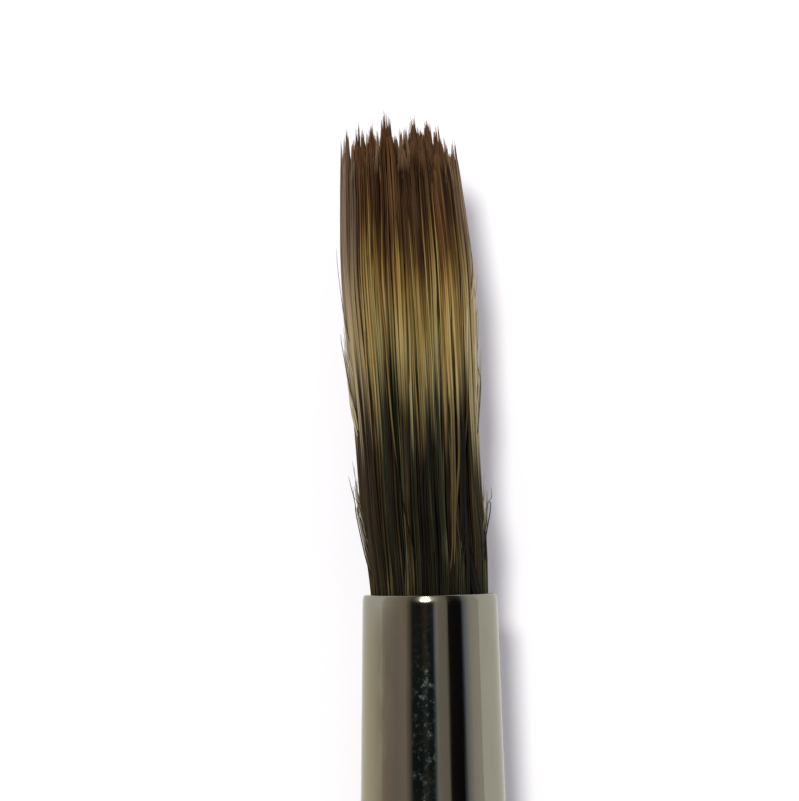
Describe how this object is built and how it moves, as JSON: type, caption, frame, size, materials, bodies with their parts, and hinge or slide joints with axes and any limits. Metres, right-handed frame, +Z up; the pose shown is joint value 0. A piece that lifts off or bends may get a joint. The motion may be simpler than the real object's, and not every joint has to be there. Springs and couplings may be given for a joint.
{
  "type": "artist's brush",
  "caption": "Small round-ferrule brush with a blunt, flat-topped natural-hair tuft and a turned wooden handle, lying on its side.",
  "frame": {"origin": "under the middle of the brush's length, level with the lowest point of the handle's belly", "axes": "+X along the brush towards the hair, +Z up, with the tuft's wider face up; the tuft leans slightly to +Y"},
  "size_m": [0.192, 0.0082, 0.0082],
  "materials": {
    "nickel": "polished",
    "handle_wood": "gloss",
    "hair": "satin",
    "thread": "matte",
    "glue": "satin"
  },
  "bodies": {
    "handle_and_ferrule": {"handle": "handle_wood", "ferrule": "nickel", "hair_base": "hair", "binding_thread": "thread", "root_glue": "glue"},
    "hair_middle": {"hair_belly": "hair"},
    "hair_end": {"hair_tip": "hair"}
  },
  "joints": [
    {"name": "hair_sway", "type": "hinge", "parent": "handle_and_ferrule", "child": "hair_middle", "pos_m": [0.0803, 0.00024, 0.0041], "axis": [0, 0, 1], "range_deg": [-30, 30], "stiffness_Nm_per_rad": 0.0015},
    {"name": "hair_press", "type": "hinge", "parent": "hair_middle", "child": "hair_end", "pos_m": [0.087, 0.00057, 0.0041], "axis": [0, 1, 0], "range_deg": [-25, 25], "stiffness_Nm_per_rad": 0.0008}
  ]
}
